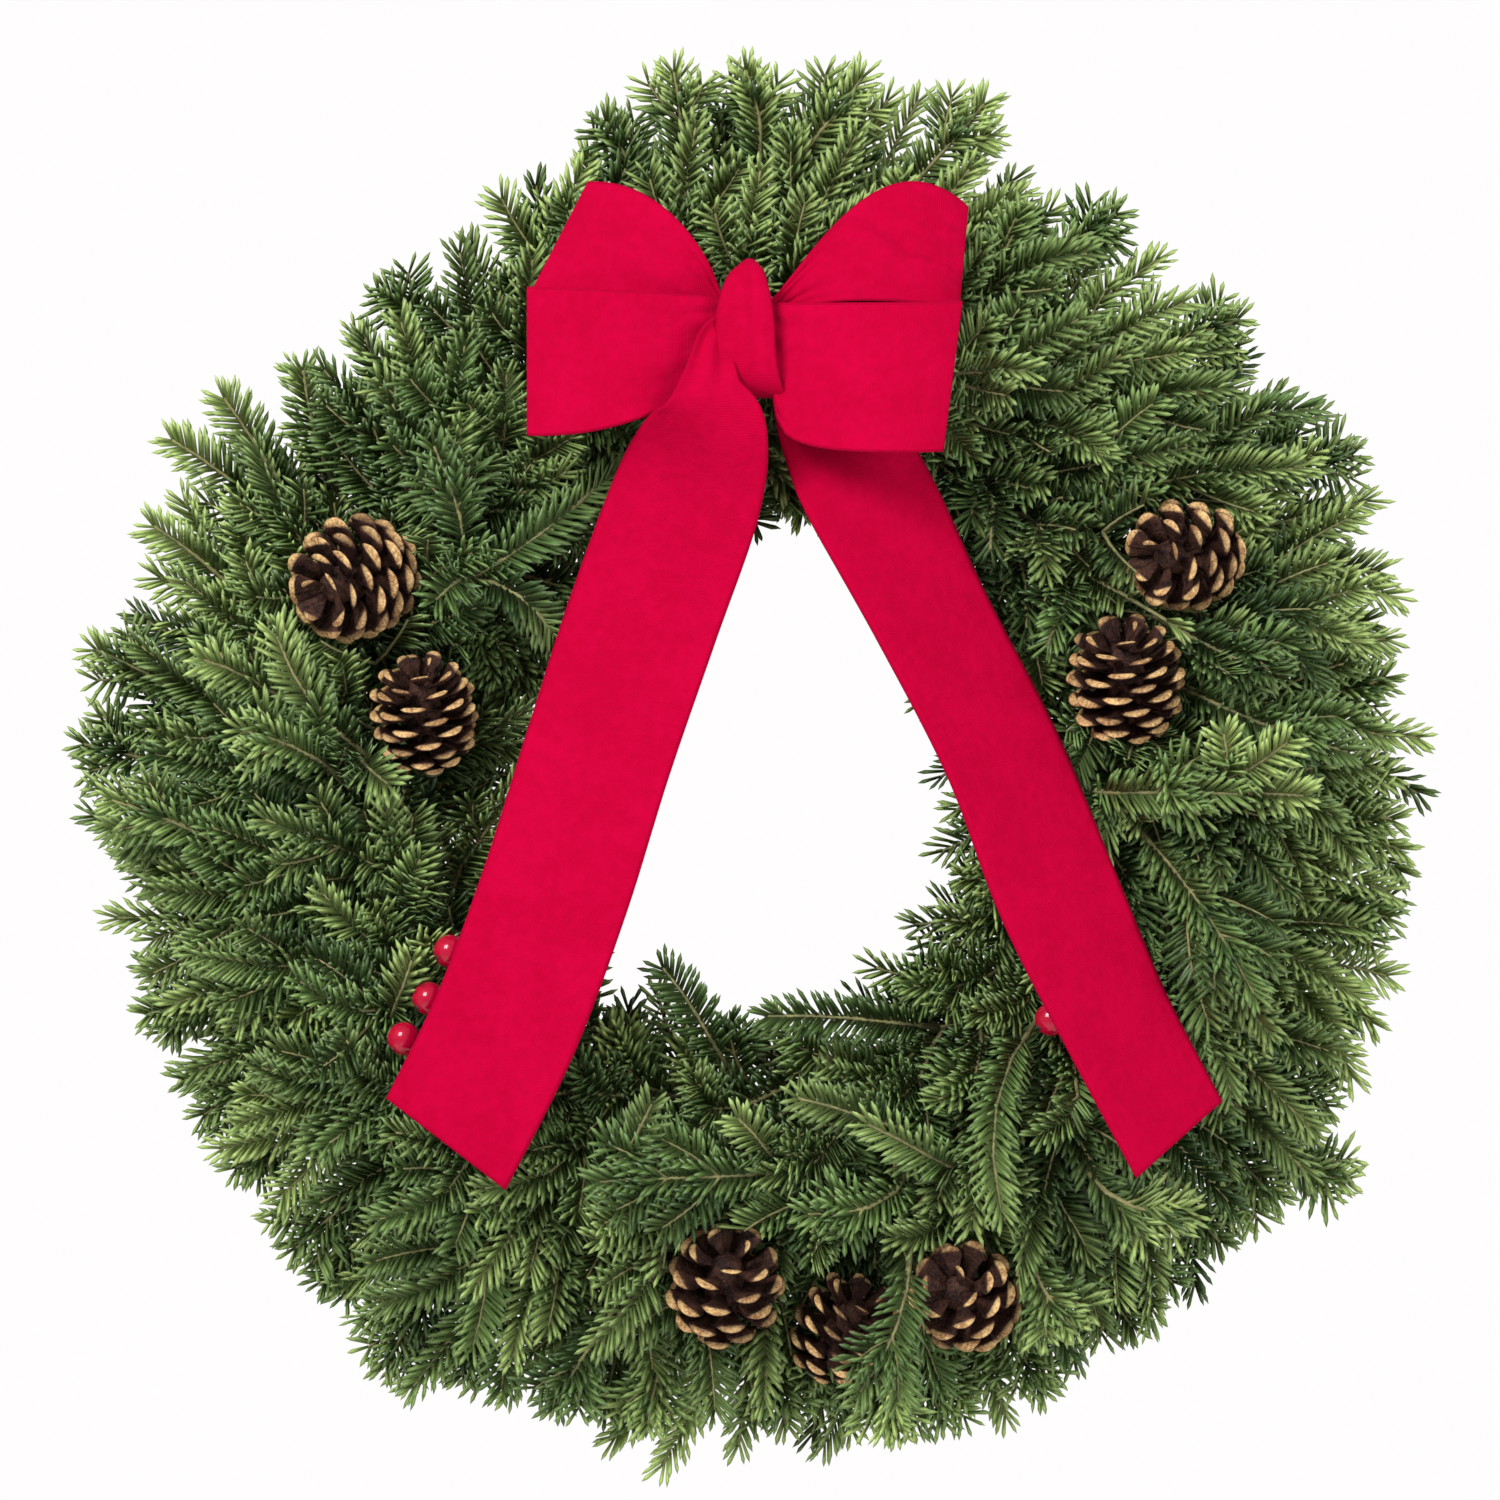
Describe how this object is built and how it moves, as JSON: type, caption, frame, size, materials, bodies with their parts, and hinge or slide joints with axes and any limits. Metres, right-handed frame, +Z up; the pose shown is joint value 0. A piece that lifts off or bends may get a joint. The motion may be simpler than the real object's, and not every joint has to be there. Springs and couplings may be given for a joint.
{
  "type": "christmas wreath",
  "caption": "Round fir wreath to hang on a door, with pine cones, red berries and a red velvet ribbon bow whose two long tails cross the hole.",
  "frame": {"origin": "the seat of the door hook: the lowest point of the underside of the ring wire at the top of the ring", "axes": "+Z up as the wreath hangs, -Y towards the viewer, out of the front of the wreath, +X to the viewer's right"},
  "size_m": [0.5696, 0.1335, 0.5675],
  "materials": {
    "fir_needles": "fresh fir greens, waxy",
    "cone_scales": "dry open cone scales",
    "florist_wire": "green lacquer",
    "berry_skin": "glossy",
    "ribbon_velvet": "velvet",
    "ring_wire": "plain wire"
  },
  "bodies": {
    "root": {"fir_bundle_01": "fir_needles", "fir_bundle_02": "fir_needles", "fir_bundle_03": "fir_needles", "fir_bundle_04": "fir_needles", "fir_bundle_05": "fir_needles", "fir_bundle_06": "fir_needles", "fir_bundle_07": "fir_needles", "fir_bundle_08": "fir_needles", "fir_bundle_09": "fir_needles", "fir_bundle_10": "fir_needles", "fir_bundle_11": "fir_needles", "fir_bundle_12": "fir_needles", "fir_bundle_13": "fir_needles", "fir_bundle_14": "fir_needles", "fir_bundle_15": "fir_needles", "fir_bundle_16": "fir_needles", "pine_cone_1": "cone_scales", "pine_cone_2": "cone_scales", "pine_cone_3": "cone_scales", "pine_cone_4": "cone_scales", "pine_cone_5": "cone_scales", "pine_cone_6": "cone_scales", "pine_cone_7": "cone_scales", "cone_wire_1": "florist_wire", "cone_wire_2": "florist_wire", "cone_wire_3": "florist_wire", "cone_wire_4": "florist_wire", "cone_wire_5": "florist_wire", "cone_wire_6": "florist_wire", "cone_wire_7": "florist_wire", "bow_wire": "florist_wire", "berry_pick_left": "berry_skin", "berry_pick_right": "berry_skin", "bow_band_upper": "ribbon_velvet", "bow_band_lower": "ribbon_velvet", "bow_knot": "ribbon_velvet", "bow_tail_left": "ribbon_velvet", "bow_tail_right": "ribbon_velvet", "clamp_ring": "ring_wire"}
  },
  "joints": []
}
